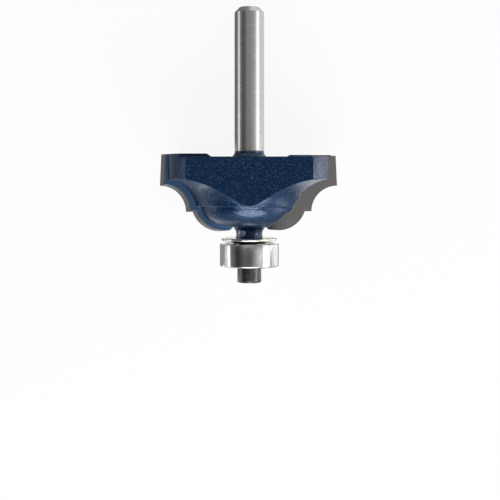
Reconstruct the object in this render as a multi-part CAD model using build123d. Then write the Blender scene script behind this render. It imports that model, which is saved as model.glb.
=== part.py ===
from build123d import *
from math import cos, pi, radians, sin, sqrt, tan
import os

# Two-wing profile router bit with a ball bearing pilot at its nose.
# One bar is turned into shank, cutter head, neck and bearing arbor. Two carbide
# tips are brazed into the head. A bearing stack is held on the arbor by a screw.
# The bit is modelled upright, Z along its axis, and then laid on its back flat.
# Height 0 is the lowest point of the cutting profile. All sizes are millimetres.

# Shank
SHANK_DIA = 6.35
SHANK_LENGTH = 31.6
SHANK_CHAMFER = 1.05
SHANK_CHAMFER_ANGLE = 46.0
SHANK_FLARE_R = 1.3

# Pilot bearing, a standard inch size
BEARING_OD = 12.7
BEARING_BORE = 4.7625
BEARING_WIDTH = 4.978
BEARING_CORNER = 0.32
BEARING_BORE_CORNER = 0.15
BALL_DIA = 2.381
BALL_COUNT = 7
RACE_GAP = 0.05
RING_SHOULDER = 0.37
SHIELD_THICK = 0.2
SHIELD_INSET = 0.15
SHIELD_SEAT = 0.18
SHIELD_RUNNING_GAP = 0.1
CAGE_WIDTH = 0.9
CAGE_WEB = 0.25
CAGE_PRONG = 0.45
CAGE_POCKET_GAP = 0.06

# Cutting profile, from the bearing outwards
BEAD_R = 6.0
BEAD_END_ANGLE = 18.2
LEDGE_WIDTH = 1.45
COVE_R = 5.55
LAND_HEIGHT = 6.5
LAND_TAPER = 0.3

# Carbide tips
TIP_THICK = 1.9
TIP_HOOK = 2.2
TIP_RELIEF = 0.85
TIP_LIFT = 0.2
TIP_INNER_R = 3.6
TIP_INNER_RISE = 0.65
TIP_BEVEL = 0.6
TIP_BEVEL_DROP = 0.5
TIP_LEDGE_WIDTH = 4.45
TIP_COVE_WIDTH = 8.32
TIP_COVE_DROP = 2.78
TIP_LAND_WIDTH = 4.3
TIP_STAGGER = 0.2
BRAZE_THICK = 0.1

# Steel head, set back from the cutting profile
LAND_SETBACK = 1.2
COVE_SETBACK = 1.45
LEDGE_SETBACK = 1.27
BEAD_SETBACK = 1.0
HEAD_DROP = 0.45
PAD_RISE = 0.2
PAD_INNER_X = 7.8
PAD_SLOPE_LENGTH = 0.95
PAD_DEPTH = 8.3
FLAT_HALF = 12.2
WING_BACKING = 0.8
LAND_BREAK = 0.2
LEDGE_ROUND = 0.25
LEDGE_CREASE = 0.12
HEAD_EDGE_ROUND = 0.25

# Chip gullets
GULLET_WALL_TOP = 9.3
GULLET_WALL_LEAN = 5.0
GULLET_FLOOR_LOW = 3.55
GULLET_FLOOR_MID = 8.2
GULLET_FLOOR_TOP = 10.6
GULLET_FLOOR_R = 2.5
GULLET_HEEL_R = 0.5

# Neck, washers and spacer above the bearing
NECK_LENGTH = 1.5
NECK_TOP_R = 3.55
NECK_WAIST_R = 2.8
NECK_FOOT_R = 2.96
NECK_WAIST_DROP = 0.65
UNDERSIDE_DROP = 0.22
SHIELD_WASHER_DIA = 12.0
SHIELD_WASHER_THICK = 0.6
SHIELD_WASHER_ROUND = 0.25
SPACER_THICK = 0.55
SPACER_TOP_DIA = 8.3
SPACER_FOOT_DIA = 6.8
ARBOR_SLIP = 0.015
ARBOR_RELIEF = 0.25
ARBOR_CHAMFER = 0.25

# Pilot screw and its washer
CLAMP_WASHER_DIA = 6.35
CLAMP_WASHER_THICK = 0.32
CLAMP_WASHER_ROUND = 0.08
SCREW_DIA = 3.175
SCREW_LENGTH = 9.5
SCREW_HEAD_DIA = 5.2
SCREW_HEAD_HEIGHT = 3.15
SCREW_HEAD_ROUND = 0.4
SCREW_SOCKET_AF = 2.38
SCREW_SOCKET_DEPTH = 1.6
SCREW_TIP_CHAMFER = 0.35
THREAD_GAP = 0.02
TAP_OVERRUN = 0.8
DRILL_POINT = 118.0

# Space beyond every surface, for cutting shapes that run past the part
CLEAR = 4.0

# Heights and radii that follow from the sizes above
PILOT_R = BEARING_OD / 2
ARBOR_R = BEARING_BORE / 2 - ARBOR_SLIP
BEAD_END_R = PILOT_R + BEAD_R * cos(radians(BEAD_END_ANGLE))
LEDGE_Z = BEAD_R - BEAD_R * sin(radians(BEAD_END_ANGLE))
COVE_END_R = BEAD_END_R + LEDGE_WIDTH
CUT_R = COVE_END_R + COVE_R
LAND_Z = LEDGE_Z + COVE_R
TIP_TOP_Z = LAND_Z + LAND_HEIGHT
HEAD_TOP_Z = TIP_TOP_Z - HEAD_DROP
PAD_TOP_Z = TIP_TOP_Z + PAD_RISE
LEFT_TIP_TOP_Z = TIP_TOP_Z + TIP_STAGGER
SHANK_TOP_Z = PAD_TOP_Z + SHANK_LENGTH
HEAD_R = CUT_R - LAND_SETBACK
TIP_BACK_Y = TIP_HOOK + TIP_THICK
WING_BACK_Y = TIP_BACK_Y + BRAZE_THICK + WING_BACKING
UNDERSIDE_Z = BEAD_SETBACK - UNDERSIDE_DROP
NECK_FOOT_Z = -NECK_LENGTH
SPACER_TOP_Z = NECK_FOOT_Z - SHIELD_WASHER_THICK
BEARING_TOP_Z = SPACER_TOP_Z - SPACER_THICK
BEARING_MID_Z = BEARING_TOP_Z - BEARING_WIDTH / 2
BEARING_FOOT_Z = BEARING_TOP_Z - BEARING_WIDTH
ARBOR_END_Z = BEARING_FOOT_Z + ARBOR_RELIEF
SCREW_SEAT_Z = BEARING_FOOT_Z - CLAMP_WASHER_THICK
SCREW_END_Z = SCREW_SEAT_Z - SCREW_HEAD_HEIGHT
SCREW_TIP_Z = SCREW_SEAT_Z + SCREW_LENGTH
PITCH_R = (BEARING_BORE + BEARING_OD) / 4
BALL_R = BALL_DIA / 2
RACE_R = BALL_R + RACE_GAP
INNER_SHOULDER_R = PITCH_R - BALL_R + RING_SHOULDER
OUTER_SHOULDER_R = PITCH_R + BALL_R - RING_SHOULDER


def turned(edges, rounds=()):
    """Solid of revolution about the tool's axis from a closed outline in the XZ plane.

    Each of the rounds is a corner of the outline with the radius that it gets.
    """
    with BuildPart() as piece:
        with BuildSketch(Plane.XZ) as section:
            with BuildLine():
                for edge in edges:
                    add(edge)
            make_face()
            for corner, radius in rounds:
                fillet(section.vertices().sort_by_distance(corner)[0], radius)
        revolve(axis=Axis.Z)
    return piece.part


def ring(outer_r, inner_r, low_z, high_z):
    """Plain washer shape between two heights."""
    blank = Pos(0, 0, (low_z + high_z) / 2) * Cylinder(outer_r, high_z - low_z)
    return blank - Pos(0, 0, (low_z + high_z) / 2) * Cylinder(inner_r, high_z - low_z + CLEAR)


def rims_beyond(radius, piece):
    """Round edges of a turned piece that are wider than a radius."""
    circles = piece.edges().filter_by(GeomType.CIRCLE)
    return circles.filter_by(lambda edge: edge.radius > radius)


def both_wings(shape):
    """The shape for the right wing, with its copy half a turn round the axis."""
    return [shape, shape.rotate(Axis.Z, 180)]


def upright_plane(y):
    """Drawing plane across the bit at depth y: X to the right, Z up."""
    return Plane(origin=(0, y, 0), x_dir=(1, 0, 0), z_dir=(0, -1, 0))


def core():
    """Shank, head, neck and arbor as they come off the lathe."""
    shank_r = SHANK_DIA / 2
    chamfer_drop = SHANK_CHAMFER * tan(radians(SHANK_CHAMFER_ANGLE))
    cove_r = COVE_R + COVE_SETBACK
    bead_r = BEAD_R - BEAD_SETBACK
    break_r = HEAD_R - LAND_BREAK
    cove_top = (break_r, LEDGE_Z + sqrt(cove_r**2 - (CUT_R - break_r) ** 2))
    land_foot = (HEAD_R, LEDGE_Z + sqrt(cove_r**2 - LAND_SETBACK**2) + LAND_BREAK)
    cove_foot = (CUT_R - sqrt(cove_r**2 - LEDGE_SETBACK**2), LEDGE_Z + LEDGE_SETBACK)
    ledge_rise = BEAD_R - LEDGE_Z - LEDGE_SETBACK
    bead_top = (PILOT_R + sqrt(bead_r**2 - ledge_rise**2), LEDGE_Z + LEDGE_SETBACK)
    bead_foot = (PILOT_R, BEAD_SETBACK)
    neck_top = (NECK_TOP_R, UNDERSIDE_Z)
    neck_waist = (NECK_WAIST_R, -NECK_WAIST_DROP)
    neck_foot = (NECK_FOOT_R, NECK_FOOT_Z)
    flare_top = (shank_r, HEAD_TOP_Z + SHANK_FLARE_R)
    flare_foot = (shank_r + SHANK_FLARE_R, HEAD_TOP_Z)
    outline = [
        Line((0, ARBOR_END_Z), (0, SHANK_TOP_Z)),
        Line((0, SHANK_TOP_Z), (shank_r - SHANK_CHAMFER, SHANK_TOP_Z)),
        Line((shank_r - SHANK_CHAMFER, SHANK_TOP_Z), (shank_r, SHANK_TOP_Z - chamfer_drop)),
        Line((shank_r, SHANK_TOP_Z - chamfer_drop), flare_top),
        RadiusArc(flare_top, flare_foot, -SHANK_FLARE_R),
        Line(flare_foot, (HEAD_R, HEAD_TOP_Z)),
        Line((HEAD_R, HEAD_TOP_Z), land_foot),
        Line(land_foot, cove_top),
        RadiusArc(cove_top, cove_foot, -cove_r),
        Line(cove_foot, bead_top),
        RadiusArc(bead_top, bead_foot, bead_r),
        Line(bead_foot, neck_top),
        ThreePointArc(neck_top, neck_waist, neck_foot),
        Line(neck_foot, (ARBOR_R, NECK_FOOT_Z)),
        Line((ARBOR_R, NECK_FOOT_Z), (ARBOR_R, ARBOR_END_Z + ARBOR_CHAMFER)),
        Line((ARBOR_R, ARBOR_END_Z + ARBOR_CHAMFER), (ARBOR_R - ARBOR_CHAMFER, ARBOR_END_Z)),
        Line((ARBOR_R - ARBOR_CHAMFER, ARBOR_END_Z), (0, ARBOR_END_Z)),
    ]
    rounds = (
        ((HEAD_R, HEAD_TOP_Z), HEAD_EDGE_ROUND),
        (cove_foot, LEDGE_ROUND),
        (bead_top, LEDGE_CREASE),
    )
    return turned(outline, rounds)


def wing_section(depth):
    """Section of a wing at a depth behind the cutting edge, drawn as a face."""
    share = depth / TIP_THICK
    relief = TIP_RELIEF * share
    lift = TIP_LIFT * share
    top = (CUT_R - LAND_TAPER - relief, PAD_TOP_Z)
    land_foot = (CUT_R - relief, LAND_Z + lift)
    cove_foot = (COVE_END_R - relief, LEDGE_Z + lift)
    bead_end = (BEAD_END_R - relief, LEDGE_Z + lift)
    bead_foot = (PILOT_R - relief, lift)
    bevel_foot = (TIP_INNER_R + TIP_BEVEL, TIP_INNER_RISE - TIP_BEVEL_DROP + lift)
    bevel_top = (TIP_INNER_R, TIP_INNER_RISE + lift)
    inner_foot = (TIP_INNER_R, UNDERSIDE_Z + TIP_BEVEL)
    inner_mid = (PAD_INNER_X + PAD_SLOPE_LENGTH, HEAD_TOP_Z / 2)
    inner_top = (inner_mid[0], PAD_TOP_Z)
    with BuildSketch(upright_plane(TIP_HOOK + depth)) as section:
        with BuildLine():
            Line(top, land_foot)
            RadiusArc(land_foot, cove_foot, -COVE_R)
            Line(cove_foot, bead_end)
            RadiusArc(bead_end, bead_foot, BEAD_R)
            Polyline(bead_foot, bevel_foot, bevel_top, inner_foot, inner_mid, inner_top, top)
        make_face()
    return section.sketch.faces()[0]


def wing_block():
    """Right wing from its cutting face back to its trailing face, relieved all round."""
    depth = WING_BACK_Y - TIP_HOOK
    return Solid.make_loft([wing_section(0).outer_wire(), wing_section(depth).outer_wire()], True)


def tip_region(front_y, back_y, top_z):
    """Everything outside the inner edge of the carbide tip, between two depths."""
    low = (TIP_INNER_R, TIP_INNER_RISE)
    ledge = (COVE_END_R - TIP_LEDGE_WIDTH, LEDGE_Z)
    cove = (CUT_R - TIP_COVE_WIDTH, LAND_Z - TIP_COVE_DROP)
    head = (CUT_R - LAND_TAPER - TIP_LAND_WIDTH, top_z)
    with BuildPart() as region:
        with BuildSketch(upright_plane(back_y)):
            with BuildLine():
                Polyline(
                    (TIP_INNER_R, -CLEAR),
                    low,
                    ledge,
                    cove,
                    head,
                    (CUT_R + CLEAR, top_z),
                    (CUT_R + CLEAR, -CLEAR),
                    close=True,
                )
            make_face()
        extrude(amount=back_y - front_y)
    return region.part


def wing_pad():
    """Raised pad on the head's top behind the right tip, with a sloped inner end."""
    rise = PAD_TOP_Z - HEAD_TOP_Z
    with BuildPart() as pad:
        with BuildSketch(upright_plane(TIP_HOOK + PAD_DEPTH)):
            with BuildLine():
                Polyline(
                    (PAD_INNER_X, HEAD_TOP_Z - rise),
                    (PAD_INNER_X, HEAD_TOP_Z),
                    (PAD_INNER_X + PAD_SLOPE_LENGTH, PAD_TOP_Z),
                    (CUT_R + CLEAR, PAD_TOP_Z),
                    (CUT_R + CLEAR, HEAD_TOP_Z - rise),
                    close=True,
                )
            make_face()
        extrude(amount=PAD_DEPTH)
    return pad.part & Pos(0, 0, PAD_TOP_Z) * Cylinder(HEAD_R, 2 * CLEAR)


def gullet():
    """Chip space in front of the right tip: a leaning wall, a rounded floor and a heel."""
    stations = (
        (UNDERSIDE_Z / 2, GULLET_FLOOR_LOW),
        (HEAD_TOP_Z / 2, GULLET_FLOOR_MID),
        (PAD_TOP_Z + CLEAR, GULLET_FLOOR_TOP),
    )
    far_x = CUT_R + CLEAR
    wires = []
    for z, floor_x in stations:
        lean = (PAD_TOP_Z - z) * tan(radians(GULLET_WALL_LEAN))
        wall_y = TIP_HOOK - GULLET_WALL_TOP - lean
        with BuildSketch(Plane.XY.offset(z)) as section:
            with BuildLine():
                Line((far_x, TIP_HOOK), (floor_x + GULLET_HEEL_R, TIP_HOOK))
                RadiusArc(
                    (floor_x + GULLET_HEEL_R, TIP_HOOK),
                    (floor_x, TIP_HOOK - GULLET_HEEL_R),
                    -GULLET_HEEL_R,
                )
                Line((floor_x, TIP_HOOK - GULLET_HEEL_R), (floor_x, wall_y + GULLET_FLOOR_R))
                RadiusArc(
                    (floor_x, wall_y + GULLET_FLOOR_R),
                    (floor_x + GULLET_FLOOR_R, wall_y),
                    -GULLET_FLOOR_R,
                )
                Line((floor_x + GULLET_FLOOR_R, wall_y), (far_x, wall_y))
                Line((far_x, wall_y), (far_x, TIP_HOOK))
            make_face()
        wires.append(section.sketch.faces()[0].outer_wire())
    return Solid.make_loft(wires, True)


def tapped_hole():
    """Hole for the pilot screw, drilled past the thread's end."""
    hole_r = SCREW_DIA / 2 + THREAD_GAP
    end_z = SCREW_TIP_Z + TAP_OVERRUN
    point = hole_r / tan(radians(DRILL_POINT / 2))
    low_z = ARBOR_END_Z - CLEAR
    outline = Polyline((0, low_z), (hole_r, low_z), (hole_r, end_z), (0, end_z + point), close=True)
    return turned(outline.edges())


def body():
    """Shank, head, neck and arbor in one piece, with flats, gullets and tip seats."""
    bar = core() & Box(2 * CUT_R, 2 * FLAT_HALF, 2 * SHANK_TOP_Z)
    for pad in both_wings(wing_pad()):
        bar = bar + pad
    for wing in both_wings(wing_block()):
        bar = bar + wing
    for space in both_wings(gullet()):
        bar = bar - space
    seat = tip_region(TIP_HOOK, TIP_BACK_Y + BRAZE_THICK, PAD_TOP_Z + CLEAR)
    for region in both_wings(seat):
        bar = bar - region
    return bar - tapped_hole()


def carbide_tip(top_z):
    """Carbide tip on the right, ground to the cutting profile with relief behind the edge."""
    return wing_block() & tip_region(TIP_HOOK, TIP_BACK_Y, top_z)


def braze_layer(top_z):
    """Thin layer of braze metal between a tip on the right and its seat."""
    return wing_block() & tip_region(TIP_BACK_Y, TIP_BACK_Y + BRAZE_THICK, top_z)


def shield_washer():
    """Washer between the neck and the spacer, with a rounded rim."""
    blank = ring(SHIELD_WASHER_DIA / 2, ARBOR_R + ARBOR_SLIP, SPACER_TOP_Z, NECK_FOOT_Z)
    return fillet(rims_beyond(NECK_TOP_R, blank), SHIELD_WASHER_ROUND)


def cone_spacer():
    """Tapered spacer that bears on the bearing's inner ring alone."""
    top_r = SPACER_TOP_DIA / 2
    foot_r = SPACER_FOOT_DIA / 2
    bore_r = ARBOR_R + ARBOR_SLIP
    outline = Polyline(
        (bore_r, BEARING_TOP_Z),
        (foot_r, BEARING_TOP_Z),
        (top_r, SPACER_TOP_Z),
        (bore_r, SPACER_TOP_Z),
        close=True,
    )
    return turned(outline.edges())


def race():
    """Torus that grinds the ball track into either ring."""
    return Pos(0, 0, BEARING_MID_Z) * Torus(PITCH_R, RACE_R)


def bearing_inner_ring():
    """Inner ring: bore with rounded mouths, and the inner ball track."""
    blank = ring(INNER_SHOULDER_R, BEARING_BORE / 2, BEARING_FOOT_Z, BEARING_TOP_Z)
    return fillet(rims_beyond(0, blank), BEARING_BORE_CORNER) - race()


def shield_recess(top):
    """Step at one end of the outer ring that a shield is pressed into."""
    depth = SHIELD_INSET + SHIELD_THICK
    seat_r = OUTER_SHOULDER_R + SHIELD_SEAT
    if top:
        return Pos(0, 0, BEARING_TOP_Z - depth + CLEAR / 2) * Cylinder(seat_r, CLEAR)
    return Pos(0, 0, BEARING_FOOT_Z + depth - CLEAR / 2) * Cylinder(seat_r, CLEAR)


def bearing_outer_ring():
    """Outer ring that rolls along the work, recessed for a shield at each end."""
    blank = ring(PILOT_R, OUTER_SHOULDER_R, BEARING_FOOT_Z, BEARING_TOP_Z)
    blank = fillet(rims_beyond(OUTER_SHOULDER_R + RACE_GAP, blank), BEARING_CORNER)
    return blank - race() - shield_recess(True) - shield_recess(False)


def bearing_shield(top):
    """Thin pressed disc in the outer ring, clear of the inner ring."""
    seat_r = OUTER_SHOULDER_R + SHIELD_SEAT
    lip_r = INNER_SHOULDER_R + SHIELD_RUNNING_GAP
    if top:
        high_z = BEARING_TOP_Z - SHIELD_INSET
        return ring(seat_r, lip_r, high_z - SHIELD_THICK, high_z)
    low_z = BEARING_FOOT_Z + SHIELD_INSET
    return ring(seat_r, lip_r, low_z, low_z + SHIELD_THICK)


def ball_places():
    """Centres of the balls, evenly spaced round the pitch circle."""
    angles = [2 * pi * i / BALL_COUNT for i in range(BALL_COUNT)]
    return [(PITCH_R * cos(a), PITCH_R * sin(a), BEARING_MID_Z) for a in angles]


def ball_cage():
    """Crown cage in one piece: a web under the balls, with prongs that close round each one."""
    web_z = BEARING_MID_Z - BALL_R - CAGE_POCKET_GAP - CAGE_WEB
    prong_z = BEARING_MID_Z + CAGE_PRONG
    crown = ring(PITCH_R + CAGE_WIDTH / 2, PITCH_R - CAGE_WIDTH / 2, web_z, prong_z)
    for place in ball_places():
        crown = crown - Pos(*place) * Sphere(BALL_R + CAGE_POCKET_GAP)
    return crown


def clamp_washer():
    """Small washer that clamps the bearing's inner ring, with a rounded rim."""
    blank = ring(CLAMP_WASHER_DIA / 2, SCREW_DIA / 2 + THREAD_GAP, SCREW_SEAT_Z, BEARING_FOOT_Z)
    return fillet(rims_beyond(SCREW_DIA / 2 + CLAMP_WASHER_ROUND, blank), CLAMP_WASHER_ROUND)


def pilot_screw():
    """Socket head cap screw that holds the bearing stack on the arbor."""
    head_r = SCREW_HEAD_DIA / 2
    thread_r = SCREW_DIA / 2
    outline = [
        Line((0, SCREW_END_Z), (head_r - SCREW_HEAD_ROUND, SCREW_END_Z)),
        RadiusArc(
            (head_r - SCREW_HEAD_ROUND, SCREW_END_Z),
            (head_r, SCREW_END_Z + SCREW_HEAD_ROUND),
            -SCREW_HEAD_ROUND,
        ),
        Line((head_r, SCREW_END_Z + SCREW_HEAD_ROUND), (head_r, SCREW_SEAT_Z)),
        Line((head_r, SCREW_SEAT_Z), (thread_r, SCREW_SEAT_Z)),
        Line((thread_r, SCREW_SEAT_Z), (thread_r, SCREW_TIP_Z - SCREW_TIP_CHAMFER)),
        Line((thread_r, SCREW_TIP_Z - SCREW_TIP_CHAMFER), (thread_r - SCREW_TIP_CHAMFER, SCREW_TIP_Z)),
        Line((thread_r - SCREW_TIP_CHAMFER, SCREW_TIP_Z), (0, SCREW_TIP_Z)),
        Line((0, SCREW_TIP_Z), (0, SCREW_END_Z)),
    ]
    with BuildPart() as socket:
        with BuildSketch(Plane.XY.offset(SCREW_END_Z)):
            RegularPolygon(SCREW_SOCKET_AF / 2, 6, major_radius=False)
        extrude(amount=SCREW_SOCKET_DEPTH)
    return turned(outline) - socket.part


def all_pieces():
    """Every piece by name, upright."""
    pieces = {"body": body()}
    for side, turn, top_z in (("right", 0, TIP_TOP_Z), ("left", 180, LEFT_TIP_TOP_Z)):
        pieces["carbide_tip_" + side] = carbide_tip(top_z).rotate(Axis.Z, turn)
        pieces["braze_layer_" + side] = braze_layer(top_z).rotate(Axis.Z, turn)
    pieces["shield_washer"] = shield_washer()
    pieces["cone_spacer"] = cone_spacer()
    pieces["bearing_inner_ring"] = bearing_inner_ring()
    pieces["bearing_outer_ring"] = bearing_outer_ring()
    pieces["bearing_shield_upper"] = bearing_shield(True)
    pieces["bearing_shield_lower"] = bearing_shield(False)
    for number, place in enumerate(ball_places(), start=1):
        pieces[f"bearing_ball_{number}"] = Pos(*place) * Sphere(BALL_R)
    pieces["ball_cage"] = ball_cage()
    pieces["clamp_washer"] = clamp_washer()
    pieces["pilot_screw"] = pilot_screw()
    return pieces


# The bit lies on its back flat: its axis along Y, shank to +Y, its front flat up.
# The origin is on the floor, under the middle of its length.
LAID_DOWN = Pos(0, -(SHANK_TOP_Z + SCREW_END_Z) / 2, FLAT_HALF) * Rot(-90, 0, 0)

os.makedirs("parts", exist_ok=True)
for name, piece in all_pieces().items():
    export_step(LAID_DOWN * piece, f"parts/{name}.step")
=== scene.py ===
import math

import bmesh
import bpy
from mathutils import Matrix, Vector


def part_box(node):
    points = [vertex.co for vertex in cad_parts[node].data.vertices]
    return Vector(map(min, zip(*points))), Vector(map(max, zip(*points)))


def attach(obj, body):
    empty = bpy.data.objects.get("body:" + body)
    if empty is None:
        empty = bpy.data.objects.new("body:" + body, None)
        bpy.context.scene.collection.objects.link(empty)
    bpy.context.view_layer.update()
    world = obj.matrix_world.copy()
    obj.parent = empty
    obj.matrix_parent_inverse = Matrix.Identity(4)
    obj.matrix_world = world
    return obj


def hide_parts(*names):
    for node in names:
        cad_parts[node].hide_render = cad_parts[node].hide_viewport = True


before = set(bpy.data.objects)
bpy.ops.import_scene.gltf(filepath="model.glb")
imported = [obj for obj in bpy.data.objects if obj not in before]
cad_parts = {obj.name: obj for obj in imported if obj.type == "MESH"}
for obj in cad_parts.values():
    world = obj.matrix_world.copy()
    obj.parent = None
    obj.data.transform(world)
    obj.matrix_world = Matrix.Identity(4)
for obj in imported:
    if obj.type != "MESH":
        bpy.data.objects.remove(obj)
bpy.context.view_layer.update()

MM = 0.001

# Places on the bit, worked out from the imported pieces
body_low, body_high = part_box("body")
AXIS_Z = (body_low.z + body_high.z) / 2
FLAT_HALF = (body_high.z - body_low.z) / 2
CUT_FOOT_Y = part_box("carbide_tip_right")[0].y
PAINT_LINE_Y = CUT_FOOT_Y + 17.2 * MM

# Distance of each tip's cutting face from the plane through the axis
TIP_HOOK = 2.2 * MM

# Camera: straight above the laid bit. Its level and the frame's centre are heights above the cutting foot
CAMERA_DISTANCE = 230 * MM
CAMERA_LEVEL = 11.0 * MM
FRAME_WIDTH = 107.5 * MM
FRAME_CENTRE_X = 0.15 * MM
FRAME_CENTRE_LEVEL = -4.13 * MM
SENSOR_WIDTH = 36.0


def make_camera():
    """Camera over the bit, with a lens shift along it for the photograph's framing."""
    data = bpy.data.cameras.new("camera")
    data.sensor_width = SENSOR_WIDTH
    data.lens = SENSOR_WIDTH * CAMERA_DISTANCE / FRAME_WIDTH
    data.shift_y = (FRAME_CENTRE_LEVEL - CAMERA_LEVEL) / FRAME_WIDTH
    data.clip_start = 0.01
    data.clip_end = 20
    camera = bpy.data.objects.new("camera", data)
    camera.location = (FRAME_CENTRE_X, CUT_FOOT_Y + CAMERA_LEVEL, AXIS_Z + CAMERA_DISTANCE)
    bpy.context.scene.collection.objects.link(camera)
    bpy.context.scene.camera = camera


class Socket:
    """A node's output. Arithmetic on it adds Math nodes to its tree."""

    def __init__(self, net, socket):
        self.net = net
        self.socket = socket

    def out(self, name):
        """Another output of the same node."""
        return Socket(self.net, self.socket.node.outputs[name])

    def math(self, operation, first, second):
        return self.net.node("ShaderNodeMath", {"operation": operation}, {0: first, 1: second})

    def __add__(self, other):
        return self.math("ADD", self, other)

    def __radd__(self, other):
        return self.math("ADD", other, self)

    def __sub__(self, other):
        return self.math("SUBTRACT", self, other)

    def __rsub__(self, other):
        return self.math("SUBTRACT", other, self)

    def __mul__(self, other):
        return self.math("MULTIPLY", self, other)

    def __rmul__(self, other):
        return self.math("MULTIPLY", other, self)

    def __truediv__(self, other):
        return self.math("DIVIDE", self, other)

    def __rtruediv__(self, other):
        return self.math("DIVIDE", other, self)

    def __pow__(self, other):
        return self.math("POWER", self, other)

    def __rpow__(self, other):
        return self.math("POWER", other, self)


class Net:
    """A node tree that is built one node at a time."""

    def __init__(self, tree):
        self.tree = tree
        tree.nodes.clear()

    def node(self, kind, settings=None, inputs=None, out=0):
        """Adds a node: its settings first, then the values or links of its sockets."""
        made = self.tree.nodes.new(kind)
        for name, value in (settings or {}).items():
            if name == "stops":
                set_stops(made.color_ramp, value)
            else:
                setattr(made, name, value)
        for key, value in (inputs or {}).items():
            if isinstance(value, Socket):
                self.tree.links.new(value.socket, made.inputs[key])
            else:
                made.inputs[key].default_value = value
        if len(made.outputs) == 0:
            return None
        return Socket(self, made.outputs[out])

    def vector(self, operation, inputs):
        """Arithmetic on vectors."""
        return self.node("ShaderNodeVectorMath", {"operation": operation}, inputs)

    def parts(self, vector):
        """A vector's X, Y and Z, as the outputs of one node."""
        return self.node("ShaderNodeSeparateXYZ", None, {0: vector})

    def step(self, value, low, high):
        """0 below low, 1 above high, and smooth between them."""
        inputs = {0: value, 1: low, 2: high, 3: 0.0, 4: 1.0}
        return self.node("ShaderNodeMapRange", {"interpolation_type": "SMOOTHSTEP"}, inputs)

    def blend(self, share, first, second):
        """Colour that goes from first to second."""
        inputs = {0: share, 6: first, 7: second}
        return self.node("ShaderNodeMix", {"data_type": "RGBA"}, inputs, out=2)

    def ramp(self, value, stops):
        """Grey by a value from 0 to 1."""
        return self.node("ShaderNodeValToRGB", {"stops": stops}, {0: value})


def set_stops(ramp, stops):
    """Gives a colour ramp its stops: a place and a grey each."""
    while len(ramp.elements) > 1:
        ramp.elements.remove(ramp.elements[-1])
    for index, (place, shade) in enumerate(stops):
        element = ramp.elements[0] if index == 0 else ramp.elements.new(place)
        element.position = place
        element.color = grey(shade)


def rgb(red, green, blue):
    return (red, green, blue, 1.0)


def grey(shade):
    return rgb(shade, shade, shade)


class Finish(Net):
    """Material of one finish, with its pattern on the piece's own coordinates."""

    def __init__(self, name):
        self.material = bpy.data.materials.new(name)
        self.material.use_nodes = True
        super().__init__(self.material.node_tree)
        self.place = self.node("ShaderNodeTexCoord").out("Object")

    def noise(self, scale, detail, stretch=(1, 1, 1)):
        """Cloudy value about 0.5; scale counts features per millimetre."""
        factors = tuple(scale * share / MM for share in stretch)
        place = self.vector("MULTIPLY", {0: self.place, 1: factors})
        inputs = {"Vector": place, "Scale": 1.0, "Detail": detail, "Roughness": 0.6}
        return self.node("ShaderNodeTexNoise", None, inputs)

    def cells(self, scale):
        """Distance from the nearest of many scattered points; scale counts them per millimetre."""
        inputs = {"Vector": self.place, "Scale": scale / MM}
        return self.node("ShaderNodeTexVoronoi", {"feature": "F1"}, inputs)

    def bump(self, height, depth):
        """Normal over a relief that is depth metres deep."""
        inputs = {"Strength": 1.0, "Distance": depth, "Height": height}
        return self.node("ShaderNodeBump", None, inputs)

    def surface(self, **sockets):
        """Closes the material with its shader."""
        named = {key.replace("_", " "): value for key, value in sockets.items()}
        shader = self.node("ShaderNodeBsdfPrincipled", None, named)
        self.node("ShaderNodeOutputMaterial", None, {"Surface": shader})
        return self.material


def axis_radius(finish):
    """Distance from the bit's axis, in metres."""
    parts = finish.parts(finish.place)
    x = parts.out("X")
    z = parts.out("Z") - AXIS_Z
    return (x * x + z * z) ** 0.5


def flakes(finish, scale, scarcity, reach):
    """Round metal flakes in the paint, by their number, rarity and size: 1 on a flake, 0 between."""
    cells = finish.cells(scale)
    lot = finish.node("ShaderNodeSeparateColor", None, {0: cells.out("Color")}).out("Red")
    return finish.step(lot, scarcity, scarcity + 0.3) * (1 - finish.step(cells, reach * 0.6, reach))


def flake_normal(finish, scale, tilt):
    """Normals of the paint's metal flakes, each leaning its own way, with the paint's edges rounded."""
    cells = finish.cells(scale)
    centred = finish.vector("SUBTRACT", {0: cells.out("Color"), 1: (0.5, 0.5, 0.5)})
    leaning = finish.vector("SCALE", {0: centred, "Scale": tilt})
    surface = finish.node("ShaderNodeBevel", {"samples": 6}, {"Radius": 0.22 * MM})
    summed = finish.vector("ADD", {0: surface, 1: leaning})
    return finish.vector("NORMALIZE", {0: summed})


def painted_light_on_milled_faces(finish):
    """Painted light: 1 on the milled faces beside the flats, which are made paler to stand in for the light
    they catch and to lift the shade in the gullet, and 0 elsewhere.
    """
    height = finish.parts(finish.place).out("Z") - AXIS_Z
    off_axis = (height * height) ** 0.5
    facing = finish.parts(finish.node("ShaderNodeTexCoord").out("Normal")).out("Z")
    milled = finish.step(facing * facing, 0.95, 0.98) * (1 - finish.step(off_axis, 7.5 * MM, 8.0 * MM))
    return milled * finish.step(axis_radius(finish), 5.5 * MM, 6.5 * MM)


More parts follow.
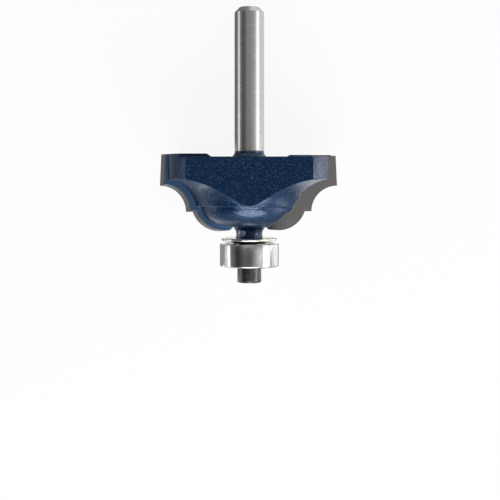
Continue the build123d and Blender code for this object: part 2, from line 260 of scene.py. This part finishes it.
def painted_bar():
    """Body: navy metal-flake paint on the head and neck, ground steel on the shank."""
    finish = Finish("painted_bar")
    ragged = finish.parts(finish.place).out("Y") + finish.noise(3.0, 3.0) * 0.3 * MM
    bare = finish.step(ragged, PAINT_LINE_Y + 0.1 * MM, PAINT_LINE_Y + 0.2 * MM)
    lip = finish.step(ragged, PAINT_LINE_Y - 0.25 * MM, PAINT_LINE_Y + 0.1 * MM) * (1 - bare)

    fine = flakes(finish, 10.5, 0.30, 0.62)
    broad = flakes(finish, 4.3, 0.55, 0.44)
    paint = finish.blend(finish.noise(0.35, 3.0), rgb(0.001, 0.012, 0.044), rgb(0.001, 0.019, 0.066))
    paint = finish.blend(fine * 0.2, paint, rgb(0.012, 0.15, 0.37))
    paint = finish.blend(broad * 0.46, paint, rgb(0.14, 0.26, 0.44))
    # Painted light: the milled faces beside the flats are made paler than the rest of the paint
    paint = finish.blend(painted_light_on_milled_faces(finish) * 0.6, paint, rgb(0.075, 0.145, 0.27))
    paint = finish.blend(lip * 0.5, paint, rgb(0.30, 0.36, 0.48))

    lines = finish.noise(1.0, 3.0, stretch=(0.6, 26.0, 0.6))
    marks = finish.noise(0.5, 4.0, stretch=(1.0, 2.5, 1.0))
    pits = finish.step(finish.noise(2.6, 2.0), 0.70, 0.78)
    steel = finish.blend(marks, rgb(0.52, 0.51, 0.50), rgb(0.62, 0.61, 0.60))
    steel = finish.blend(pits * 0.6, steel, rgb(0.18, 0.17, 0.16))

    leaning = flake_normal(finish, 9.0, 0.28)
    ground = finish.bump(lines, 0.004 * MM)
    inputs = {0: bare, 4: leaning, 5: ground}
    return finish.surface(
        Base_Color=finish.blend(bare, paint, steel),
        Metallic=0.6 + bare * 0.4,
        Roughness=0.36 - bare * 0.10 + (marks - 0.5) * 0.1,
        Specular_IOR_Level=0.1,
        Coat_Weight=(1.0 - bare) * (0.38 + fine * 0.2 + broad * 0.6),
        Coat_Roughness=0.19,
        Coat_IOR=1.62,
        Normal=finish.node("ShaderNodeMix", {"data_type": "VECTOR"}, inputs, out=1),
    )


def ground_carbide():
    """Carbide: matte grey, with the fine lines of its grinding."""
    finish = Finish("ground_carbide")
    lines = finish.noise(1.0, 4.0, stretch=(22.0, 0.8, 0.8))
    tone = finish.blend(finish.noise(0.3, 3.0), rgb(0.118, 0.117, 0.114), rgb(0.168, 0.165, 0.158))
    tone = finish.blend(finish.step(lines, 0.35, 0.7) * 0.35, tone, rgb(0.27, 0.26, 0.25))
    return finish.surface(
        Base_Color=tone,
        Metallic=0.45,
        Roughness=0.42 + (lines - 0.5) * 0.25,
        Normal=finish.bump(lines, 0.003 * MM),
    )


def braze_metal():
    """Braze: dull yellowish metal with an uneven skin."""
    finish = Finish("braze_metal")
    skin = finish.noise(2.4, 4.0)
    return finish.surface(
        Base_Color=finish.blend(skin, rgb(0.20, 0.16, 0.10), rgb(0.38, 0.31, 0.21)),
        Metallic=0.8,
        Roughness=0.35 + skin * 0.3,
        Normal=finish.bump(skin, 0.03 * MM),
    )


def turned_steel(name, dark, light, roughness, ring_pitch, depth):
    """Steel off a lathe: rings round the axis on flat faces, and lines along it on rims."""
    finish = Finish(name)
    travel = axis_radius(finish) + finish.parts(finish.place).out("Y") * 0.7
    inputs = {"W": travel / (ring_pitch * MM), "Scale": 1.0, "Detail": 3.0}
    rings = finish.node("ShaderNodeTexNoise", {"noise_dimensions": "1D"}, inputs)
    smudge = finish.noise(0.45, 4.0)
    streaks = finish.noise(1.0, 3.0, stretch=(9.0, 0.7, 9.0))
    return finish.surface(
        Base_Color=finish.blend(finish.step(smudge * 0.6 + streaks * 0.4, 0.38, 0.66), dark, light),
        Metallic=1.0,
        Roughness=roughness + (smudge - 0.5) * 0.12,
        Normal=finish.bump(rings, depth * MM),
    )


def blackened(name, tone, rubbed, roughness):
    """Blackened steel, rubbed a little paler in places."""
    finish = Finish(name)
    rub = finish.noise(0.9, 4.0, stretch=(1.0, 0.5, 1.0))
    return finish.surface(
        Base_Color=finish.blend(finish.step(rub, 0.45, 0.8) * 0.7, tone, rubbed),
        Metallic=0.75,
        Roughness=roughness + (rub - 0.5) * 0.2,
        Coat_Weight=0.6 + rub * 0.5,
        Coat_Roughness=0.24,
        Normal=finish.bump(finish.noise(6.0, 2.0), 0.012 * MM),
    )


def drip_paint():
    """Paint over a run of braze on the neck: greyer and lighter than the rest."""
    finish = Finish("drip_paint")
    skin = finish.noise(1.6, 4.0)
    return finish.surface(
        Base_Color=finish.blend(skin, rgb(0.24, 0.32, 0.49), rgb(0.46, 0.54, 0.70)),
        Metallic=0.5,
        Roughness=0.32 + skin * 0.15,
        Coat_Weight=0.8,
        Coat_Roughness=0.1,
        Normal=finish.bump(skin, 0.04 * MM),
    )


PAINTED = painted_bar()
CARBIDE = ground_carbide()
BRAZE = braze_metal()
DRIP = drip_paint()

# Lathe finishes: dark and light tone, roughness, then the rings' pitch and depth in millimetres
BRIGHT = turned_steel("bright_steel", rgb(0.70, 0.68, 0.60), rgb(0.88, 0.87, 0.83), 0.24, 0.05, 0.004)
RING = turned_steel("ring_steel", grey(0.54), grey(0.70), 0.13, 0.04, 0.0008)
SHEET = turned_steel("shield_sheet", grey(0.42), grey(0.55), 0.30, 0.06, 0.004)
BALLS = turned_steel("ball_steel", grey(0.68), grey(0.76), 0.08, 0.10, 0.0005)
CAGE = turned_steel("cage_steel", rgb(0.40, 0.38, 0.34), rgb(0.52, 0.50, 0.45), 0.35, 0.10, 0.006)
BLACK = blackened("blackened_steel", rgb(0.022, 0.022, 0.021), rgb(0.10, 0.10, 0.095), 0.34)
OXIDE = blackened("black_oxide", rgb(0.032, 0.032, 0.033), grey(0.09), 0.36)


def add_object(name, mesh):
    """Puts a mesh in the scene."""
    piece = bpy.data.objects.new(name, mesh)
    bpy.context.scene.collection.objects.link(piece)
    return piece


def freeze(piece):
    """Gives a piece the plain mesh that its modifiers make, and takes them off."""
    depsgraph = bpy.context.evaluated_depsgraph_get()
    mesh = bpy.data.meshes.new_from_object(piece.evaluated_get(depsgraph))
    piece.modifiers.clear()
    piece.data = mesh


def smooth_by_angle(mesh, degrees):
    """Smooth faces, with edges sharper than the angle left crisp."""
    mesh.polygons.foreach_set("use_smooth", [True] * len(mesh.polygons))
    mesh.set_sharp_from_angle(angle=math.radians(degrees))


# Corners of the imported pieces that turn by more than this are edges
SHARP_DEGREES = 35


def is_milled_flat(face):
    """Whether a face of the body lies in its front or back flat."""
    height = abs(face.calc_center_median().z - AXIS_Z)
    return abs(face.normal.z) > 0.9999 and abs(height - FLAT_HALF) < 0.01 * MM


def bounds_flat(edge):
    """Whether an edge lies between a milled flat and something else."""
    on_flat = [is_milled_flat(face) for face in edge.link_faces]
    return 0 < on_flat.count(True) < len(on_flat)


def is_sharp_outer(edge):
    """Whether an edge is an outer corner that a rounding can take."""
    if len(edge.link_faces) != 2 or not edge.is_convex:
        return False
    return edge.calc_face_angle() > math.radians(SHARP_DEGREES)


def merged_copy(node, name):
    """Mesh of a CAD node with its facets merged, and the edges that must stay crisp."""
    shape = bmesh.new()
    shape.from_mesh(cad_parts[node].data)
    bmesh.ops.remove_doubles(shape, verts=shape.verts, dist=0.002 * MM)
    flat = math.radians(0.4)
    bmesh.ops.dissolve_limit(shape, angle_limit=flat, verts=shape.verts, edges=shape.edges)
    shape.edges.index_update()
    weights = shape.edges.layers.float.new("bevel_weight_edge")
    for edge in shape.edges:
        if is_sharp_outer(edge):
            edge[weights] = 1
    crisp = [edge.index for edge in shape.edges if bounds_flat(edge)]
    mesh = bpy.data.meshes.new(name)
    shape.to_mesh(mesh)
    shape.free()
    if "custom_normal" in mesh.attributes:
        mesh.attributes.remove(mesh.attributes["custom_normal"])
    return mesh, crisp


def dressed(node, name, material, rounding=0.0):
    """Stands for a CAD node: a merged copy, with its sharp outer edges rounded."""
    mesh, crisp = merged_copy(node, name)
    mesh.materials.append(material)
    piece = add_object(name, mesh)
    smooth_by_angle(mesh, SHARP_DEGREES)
    for index in crisp:
        mesh.edges[index].use_edge_sharp = True
    if rounding > 0:
        bevel = piece.modifiers.new("edges", "BEVEL")
        bevel.width = rounding
        bevel.segments = 3
        bevel.limit_method = "WEIGHT"
        bevel.use_clamp_overlap = False
        bevel.harden_normals = True
    freeze(piece)
    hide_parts(node)
    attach(piece, "tool")


def rounded(points, steps=4):
    """Closed outline with rounded corners. A point is a radius, a place and, if it is round, its rounding."""
    outline = []
    for index, point in enumerate(points):
        here = Vector(point[:2])
        if len(point) == 2:
            outline.append(here)
            continue
        before = (Vector(points[index - 1][:2]) - here).normalized()
        after = (Vector(points[(index + 1) % len(points)][:2]) - here).normalized()
        half = before.angle(after) / 2
        reach = point[2] / math.tan(half)
        centre = here + (before + after).normalized() * (point[2] / math.sin(half))
        start = (here + before * reach - centre).normalized()
        end = (here + after * reach - centre).normalized()
        for step in range(steps + 1):
            outline.append(centre + start.slerp(end, step / steps) * point[2])
    return outline


def track(low, high, steps=10):
    """Points of the groove that the balls run in, from one edge of it to the other."""
    turns = [low + (high - low) * step / steps for step in range(steps + 1)]
    return [(PITCH_R + TRACK_R * math.sin(turn), RING_MID_Y + TRACK_R * math.cos(turn)) for turn in turns]


def start_tree(name, inputs):
    """New Geometry Nodes tree with its named inputs, and its input node."""
    tree = bpy.data.node_groups.new(name, "GeometryNodeTree")
    net = Net(tree)
    for socket, kind in inputs.items():
        tree.interface.new_socket(socket, in_out="INPUT", socket_type=f"NodeSocket{kind}")
    tree.interface.new_socket("Piece", in_out="OUTPUT", socket_type="NodeSocketGeometry")
    return net, net.node("NodeGroupInput")


def close_tree(net, given, geometry):
    """Ends a tree in real geometry with its finish on."""
    real = net.node("GeometryNodeRealizeInstances", None, {"Geometry": geometry})
    inputs = {"Geometry": real, "Material": given.out("Finish")}
    done = net.node("GeometryNodeSetMaterial", None, inputs)
    net.node("NodeGroupOutput", None, {"Piece": done})
    return net.tree


def turning_tree():
    """Geometry Nodes that sweep an outline round the bit's axis."""
    inputs = {
        "Outline": "Geometry",
        "Sweep radius": "Float",
        "Segments": "Int",
        "Axis height": "Float",
        "Finish": "Material",
    }
    net, given = start_tree("turning", inputs)
    outline = net.node("GeometryNodeMeshToCurve", None, {"Mesh": given})
    sizes = {"Resolution": given.out("Segments"), "Radius": given.out("Sweep radius")}
    circle = net.node("GeometryNodeCurvePrimitiveCircle", {"mode": "RADIUS"}, sizes)
    swept = net.node("GeometryNodeCurveToMesh", None, {"Curve": circle, "Profile Curve": outline})
    height = net.node("ShaderNodeCombineXYZ", None, {"Z": given.out("Axis height")})
    placing = {"Geometry": swept, "Translation": height, "Rotation": (math.pi / 2, 0, 0)}
    placed = net.node("GeometryNodeTransform", None, placing)
    return close_tree(net, given, placed)


def run_tree():
    """Geometry Nodes that lay a lumpy run of metal or paint along a path, narrow at its ends."""
    inputs = {
        "Path": "Geometry",
        "Radius": "Float",
        "Step length": "Float",
        "Lumps per metre": "Float",
        "Lump share": "Float",
        "Finish": "Material",
    }
    net, given = start_tree("run", inputs)
    path = net.node("GeometryNodeMeshToCurve", None, {"Mesh": given})
    steps = {"Curve": path, "Length": given.out("Step length")}
    path = net.node("GeometryNodeResampleCurve", {"mode": "LENGTH"}, steps)
    along = net.node("GeometryNodeSplineParameter")
    taper = (1.01 - (along * 2.0 - 1.0) ** 2.0) ** 0.5
    place = net.node("GeometryNodeInputPosition")
    pattern = {"Vector": place, "Scale": given.out("Lumps per metre")}
    lumps = (net.node("ShaderNodeTexNoise", None, pattern) - 0.5) * given.out("Lump share")
    radius = given.out("Radius") * taper * (1.0 + lumps)
    sizes = {"Resolution": 16, "Radius": 1.0}
    circle = net.node("GeometryNodeCurvePrimitiveCircle", {"mode": "RADIUS"}, sizes)
    sweep = {"Curve": path, "Profile Curve": circle, "Scale": radius, "Fill Caps": True}
    return close_tree(net, given, net.node("GeometryNodeCurveToMesh", None, sweep))


TURNING = turning_tree()
RUN = run_tree()


def with_tree(piece, tree, **values):
    """Runs a Geometry Nodes tree on a piece and keeps the result as its plain mesh."""
    modifier = piece.modifiers.new(tree.name, "NODES")
    modifier.node_group = tree
    sockets = {item.name: item.identifier for item in tree.interface.items_tree if item.in_out == "INPUT"}
    for name, value in values.items():
        modifier[sockets[name.replace("_", " ")]] = value
    freeze(piece)


def turned(name, node, points, material, body="tool", segments=160):
    """Piece turned from an outline given in metres as radii and places along the axis."""
    outline = rounded(points)
    sweep = max(radius for radius, place in outline)
    mesh = bpy.data.meshes.new(name)
    edges = [(index, (index + 1) % len(outline)) for index in range(len(outline))]
    mesh.from_pydata([(radius - sweep, place, 0) for radius, place in outline], edges, [])
    piece = add_object(name, mesh)
    with_tree(piece, TURNING, Sweep_radius=sweep, Segments=segments, Axis_height=AXIS_Z, Finish=material)
    shape = bmesh.new()
    shape.from_mesh(piece.data)
    bmesh.ops.remove_doubles(shape, verts=shape.verts, dist=0.001 * MM)
    bmesh.ops.recalc_face_normals(shape, faces=shape.faces)
    shape.to_mesh(piece.data)
    shape.free()
    smooth_by_angle(piece.data, 40)
    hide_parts(node)
    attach(piece, body)


def run_along(name, points, material, radius, step, lumps):
    """Run of braze or paint that follows points given in metres."""
    mesh = bpy.data.meshes.new(name)
    mesh.from_pydata(points, [(index, index + 1) for index in range(len(points) - 1)], [])
    piece = add_object(name, mesh)
    with_tree(
        piece,
        RUN,
        Radius=radius,
        Step_length=step,
        Lumps_per_metre=0.5 / radius,
        Lump_share=lumps,
        Finish=material,
    )
    smooth_by_angle(piece.data, 60)
    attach(piece, "tool")


make_camera()
dressed("body", "painted_body", PAINTED)
dressed("carbide_tip_right", "carbide_right", CARBIDE, 0.03 * MM)
dressed("carbide_tip_left", "carbide_left", CARBIDE, 0.03 * MM)
dressed("pilot_screw", "cap_screw", OXIDE, 0.1 * MM)

# Bearing stack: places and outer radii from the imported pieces, and the sizes that their boxes don't give
ring_low, ring_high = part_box("bearing_outer_ring")
washer_low, washer_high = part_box("shield_washer")
spacer_low, spacer_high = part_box("cone_spacer")
clamp_low, clamp_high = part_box("clamp_washer")
RING_R = (ring_high.x - ring_low.x) / 2
WASHER_R = (washer_high.x - washer_low.x) / 2
SPACER_TOP_R = (spacer_high.x - spacer_low.x) / 2
SPACER_FOOT_R = 3.4 * MM
CLAMP_R = (clamp_high.x - clamp_low.x) / 2
SCREW_HOLE_R = 1.61 * MM
BORE_R = 2.381 * MM
RING_MID_Y = (ring_low.y + ring_high.y) / 2
PITCH_R = (BORE_R + RING_R) / 2
TRACK_R = 1.24 * MM
OUTER_SHOULDER_R = 5.186 * MM
INNER_SHOULDER_R = 3.545 * MM
SEAT_R = 5.366 * MM
SEAT_DEPTH = 0.35 * MM
SHIELD_INSET = 0.15 * MM
SHIELD_THICK = 0.2 * MM
SHIELD_BORE_R = INNER_SHOULDER_R + 0.1 * MM
SHIELD_GROOVE = 0.05 * MM

outer_turn = math.asin((OUTER_SHOULDER_R - PITCH_R) / TRACK_R)
inner_turn = math.asin((PITCH_R - INNER_SHOULDER_R) / TRACK_R)
turned(
    "outer_ring",
    "bearing_outer_ring",
    [
        (RING_R, ring_low.y, 0.32 * MM),
        (RING_R, ring_high.y, 0.32 * MM),
        (SEAT_R, ring_high.y, 0.08 * MM),
        (SEAT_R, ring_high.y - SEAT_DEPTH),
        (OUTER_SHOULDER_R, ring_high.y - SEAT_DEPTH),
        *track(outer_turn, math.pi - outer_turn),
        (OUTER_SHOULDER_R, ring_low.y + SEAT_DEPTH),
        (SEAT_R, ring_low.y + SEAT_DEPTH),
        (SEAT_R, ring_low.y, 0.08 * MM),
    ],
    RING,
    "outer_ring",
    segments=192,
)
turned(
    "inner_ring",
    "bearing_inner_ring",
    [
        (BORE_R, ring_low.y, 0.15 * MM),
        (INNER_SHOULDER_R, ring_low.y, 0.12 * MM),
        *track(math.pi + inner_turn, math.tau - inner_turn),
        (INNER_SHOULDER_R, ring_high.y, 0.12 * MM),
        (BORE_R, ring_high.y, 0.15 * MM),
    ],
    RING,
)
for side, outer_y, way in (("upper", ring_high.y, -1), ("lower", ring_low.y, 1)):
    face = outer_y + way * SHIELD_INSET
    back = face + way * SHIELD_THICK
    groove = face + way * SHIELD_GROOVE
    turned(
        f"shield_{side}",
        f"bearing_shield_{side}",
        [
            (SEAT_R, face, 0.06 * MM),
            (SEAT_R, back, 0.06 * MM),
            (SHIELD_BORE_R, back, 0.04 * MM),
            (SHIELD_BORE_R, face, 0.12 * MM),
            (INNER_SHOULDER_R + 0.45 * MM, face),
            (INNER_SHOULDER_R + 0.52 * MM, groove),
            (SEAT_R - 0.42 * MM, groove),
            (SEAT_R - 0.35 * MM, face),
        ],
        SHEET,
        "outer_ring",
    )
turned(
    "wide_washer",
    "shield_washer",
    [
        (BORE_R, washer_low.y, 0.05 * MM),
        (WASHER_R, washer_low.y, 0.28 * MM),
        (WASHER_R, washer_high.y, 0.24 * MM),
        (BORE_R, washer_high.y, 0.05 * MM),
    ],
    BRIGHT,
)
turned(
    "tapered_spacer",
    "cone_spacer",
    [
        (BORE_R, spacer_low.y, 0.03 * MM),
        (SPACER_FOOT_R, spacer_low.y, 0.06 * MM),
        (SPACER_TOP_R, spacer_high.y, 0.05 * MM),
        (BORE_R, spacer_high.y, 0.03 * MM),
    ],
    BLACK,
)
turned(
    "small_washer",
    "clamp_washer",
    [
        (SCREW_HOLE_R, clamp_low.y, 0.03 * MM),
        (CLAMP_R, clamp_low.y, 0.08 * MM),
        (CLAMP_R, clamp_high.y, 0.08 * MM),
        (SCREW_HOLE_R, clamp_high.y, 0.03 * MM),
    ],
    BLACK,
)

# Braze that stands proud along the inner edge of each tip, on the cutting face
# Each point is a distance from the axis and a height above the cutting foot, in millimetres
TIP_SEAM = ((3.75, 0.85), (9.05, 4.2), (10.73, 6.9), (14.4, 16.0))
for side, way in (("right", 1), ("left", -1)):
    run_along(
        f"braze_run_{side}",
        [(way * x * MM, CUT_FOOT_Y + rise * MM, AXIS_Z - way * TIP_HOOK) for x, rise in TIP_SEAM],
        BRAZE,
        radius=0.08 * MM,
        step=0.035 * MM,
        lumps=0.6,
    )

# Run of braze under the paint, down the neck from the head to the wide washer
# Each point is a radius and a height above the cutting foot, in millimetres, and a turn in degrees
DRIP_LINE = ((2.3, 1.2, -26), (2.05, 0.4, -32), (2.0, -0.4, -39), (2.05, -1.1, -49), (2.2, -1.9, -60))


def on_neck(radius, rise, degrees):
    """Place round the axis, turned from straight up to the right."""
    turn = math.radians(degrees)
    return (radius * MM * math.sin(turn), CUT_FOOT_Y + rise * MM, AXIS_Z + radius * MM * math.cos(turn))


run_along(
    "neck_drip",
    [on_neck(*point) for point in DRIP_LINE],
    DRIP,
    radius=1.15 * MM,
    step=0.17 * MM,
    lumps=0.7,
)

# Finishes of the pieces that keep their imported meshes
CAD_FINISHES = {"braze_layer_right": BRAZE, "braze_layer_left": BRAZE, "ball_cage": CAGE}
for number in range(1, 8):
    CAD_FINISHES[f"bearing_ball_{number}"] = BALLS
for node, material in CAD_FINISHES.items():
    if len(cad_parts[node].material_slots) == 0:
        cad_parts[node].data.materials.append(material)
    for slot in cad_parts[node].material_slots:
        slot.material = material


# Painted reflection: greys that the floor glows with for glossy rays only, by millimetres to the right of the
# axis
# The dark stretches are a painted shadow of the bit, and greys above 1 are painted light brighter than white
# Each row starts at its own place along the bit and goes on towards the shank's end
FLOOR_SPAN = 0.15
ROW_FADE = 3 * MM
SHADES_FAR_BEFORE = ((-150, 0.15), (-100, 0.2), (-60, 0.7), (150, 0.7))
SHADES_BEFORE_NOSE = (
    (-150, 0.9), (-66, 0.9), (-50, 0.75), (-38, 0.9), (-30, 1.8), (-18, 1.8), (-11, 0.1),
    (10, 0.1), (16, 0.7), (60, 0.5), (150, 0.55),
)
SHADES_BY_NOSE = (
    (-150, 1.0), (-62, 1.0), (-50, 0.6), (-38, 0.7), (-30, 2.0), (-18, 2.0), (-11, 0.2),
    (10, 0.2), (16, 0.9), (60, 1.0), (150, 0.95),
)
SHADES_BY_BEARING = (
    (-150, 1.0), (-62, 1.0), (-44, 0.38), (-9.6, 0.38), (-8.6, 1.0),
    (8.6, 1.0), (9.4, 0.45), (13.5, 0.5), (16, 1.1), (20, 1.5), (45, 1.5), (65, 1.1), (150, 0.95),
)
SHADES_BY_HEAD = (
    (-150, 1.0), (-90, 0.6), (-72, 0.27), (-34, 0.27), (-26, 0.9),
    (20, 0.9), (48, 1.2), (60, 3.4), (150, 3.4),
)
SHADES_BY_SHANK = (
    (-150, 0.8), (-72, 0.22), (-2, 0.22), (6, 0.6), (12, 1.0), (60, 1.0), (150, 0.9),
)
FLOOR_ROWS = (
    (-FLOOR_SPAN, SHADES_FAR_BEFORE),
    (CUT_FOOT_Y - 140 * MM, SHADES_BEFORE_NOSE),
    (CUT_FOOT_Y - 26 * MM, SHADES_BY_NOSE),
    (CUT_FOOT_Y - 14 * MM, SHADES_BY_BEARING),
    (CUT_FOOT_Y + 2 * MM, SHADES_BY_HEAD),
    (PAINT_LINE_Y, SHADES_BY_SHANK),
)


def floor_shades(finish):
    """Painted reflection: grey by place on the floor that glossy rays see, from one row of shades to the next
    along the bit.
    """
    place = finish.parts(finish.place)
    inputs = {0: place.out("X"), 1: -FLOOR_SPAN, 2: FLOOR_SPAN}
    across = finish.node("ShaderNodeMapRange", None, inputs)
    tone = None
    for start, row in FLOOR_ROWS:
        shades = finish.ramp(across, [(x * MM / FLOOR_SPAN / 2 + 0.5, shade) for x, shade in row])
        inside = finish.step(place.out("Y"), start, start + ROW_FADE)
        tone = shades if tone is None else finish.blend(inside, tone, shades)
    return tone


def make_floor():
    """Large pale floor that keeps a soft shadow and shows as near white, and glows with the painted
    reflection rows for glossy rays.
    """
    finish = Finish("floor")
    path = finish.node("ShaderNodeLightPath")
    glossy = path.out("Is Glossy Ray")
    seen = path.out("Is Camera Ray") + path.out("Is Transmission Ray")
    tone = finish.blend(finish.noise(0.002, 2.0), grey(0.88), grey(0.92))
    tone = finish.blend(path.out("Is Diffuse Ray"), tone, grey(0.35))
    diffuse = finish.node("ShaderNodeBsdfDiffuse", None, {"Color": tone})
    # Glossy rays see only this glow: a painted shadow of the bit where it is dark, painted light where it is
    # above 1
    glow = finish.blend(glossy, grey(1.0), floor_shades(finish))
    glow = finish.node("ShaderNodeEmission", None, {"Color": glow, "Strength": 1.0})
    mixed = finish.node("ShaderNodeMixShader", None, {0: seen * 0.9 + glossy, 1: diffuse, 2: glow})
    finish.node("ShaderNodeOutputMaterial", None, {"Surface": mixed})
    bpy.ops.mesh.primitive_plane_add(size=6)
    floor = bpy.context.object
    floor.name = "floor"
    floor.data.materials.append(finish.material)


# Greys of the ceiling, by degrees to the right of straight up: over the head, and over the shank
CEILING_BY_HEAD = (
    (-95, 0.9), (-82, 0.85), (-76, 0.26), (-72, 0.17), (-62, 0.17), (-54, 0.07), (-44, 0.035),
    (-34, 0.08), (-20, 0.16), (2, 0.14), (12, 0.24), (25, 0.5), (33, 0.7), (42, 0.9), (50, 1.0),
    (110, 1.0),
)
CEILING_BY_SHANK = (
    (-95, 0.5), (-84, 0.3), (-78, 0.17), (-60, 0.20), (-50, 0.12), (-42, 0.09), (-34, 0.16),
    (-26, 0.28), (-16, 0.42), (0, 0.42), (21, 0.40), (37, 0.38), (48, 0.4), (56, 0.6), (80, 0.6),
    (95, 0.5), (110, 0.7),
)


def make_world():
    """Studio round the bit: white at its sides, with a dark ceiling that the steel reflects."""
    world = bpy.data.worlds.new("world")
    bpy.context.scene.world = world
    world.use_nodes = True
    net = Net(world.node_tree)
    parts = net.parts(net.node("ShaderNodeTexCoord").out("Generated"))
    y = parts.out("Y")
    turn = net.node("ShaderNodeMath", {"operation": "ARCTAN2"}, {0: parts.out("X"), 1: parts.out("Z")})
    share = turn / math.tau + 0.5
    by_head, by_shank = [
        net.ramp(share, [(degrees / 360 + 0.5, shade) for degrees, shade in row])
        for row in (CEILING_BY_HEAD, CEILING_BY_SHANK)
    ]
    studio = net.blend(net.step(y, 0.06, 0.12), by_head, by_shank)
    studio = net.blend(net.step(y, 0.5, 0.8), studio, grey(0.95))
    studio = net.blend(net.step(0.0 - y, 0.55, 0.85), studio, grey(0.75))
    path = net.node("ShaderNodeLightPath")
    seen = path.out("Is Camera Ray") + path.out("Is Transmission Ray")
    plain = net.blend(seen, grey(0.28), grey(1.0))
    colour = net.blend(path.out("Is Glossy Ray"), plain, studio)
    background = net.node("ShaderNodeBackground", None, {"Color": colour, "Strength": 1.0})
    net.node("ShaderNodeOutputWorld", None, {"Surface": background})


def softbox(name, direction, distance, width, length, brightness, shape="RECTANGLE"):
    """Soft light that looks at the head; its length runs along the bit."""
    data = bpy.data.lights.new(name, "AREA")
    data.shape = shape
    data.size = width
    data.size_y = length
    data.energy = brightness * math.pi * width * length
    lamp = bpy.data.objects.new(name, data)
    away = Vector(direction).normalized()
    across = Vector((0, 1, 0)).cross(away).normalized()
    aim = Matrix((across, away.cross(across), away)).transposed()
    place = Vector((0, CUT_FOOT_Y, AXIS_Z)) + away * distance
    lamp.matrix_world = Matrix.Translation(place) @ aim.to_4x4()
    bpy.context.scene.collection.objects.link(lamp)


def side_on(degrees):
    """Direction turned round the bit's axis from straight up, to the right."""
    turn = math.radians(degrees)
    return (math.sin(turn), 0.0, math.cos(turn))


make_floor()
make_world()

# Lamps: direction, then distance, width, length and brightness
softbox("right_softbox", side_on(70), 0.55, 0.27, 0.9, 1.25)
softbox("left_strip", side_on(-87), 0.55, 0.09, 0.36, 1.7)
softbox("foot_softbox", (0.06, -0.72, 0.68), 0.6, 0.62, 0.38, 5.2, "ELLIPSE")
softbox("neck_card", (0.92, -0.2, 0.28), 0.55, 0.08, 0.2, 6.0)
bpy.context.scene.view_settings.view_transform = "Standard"
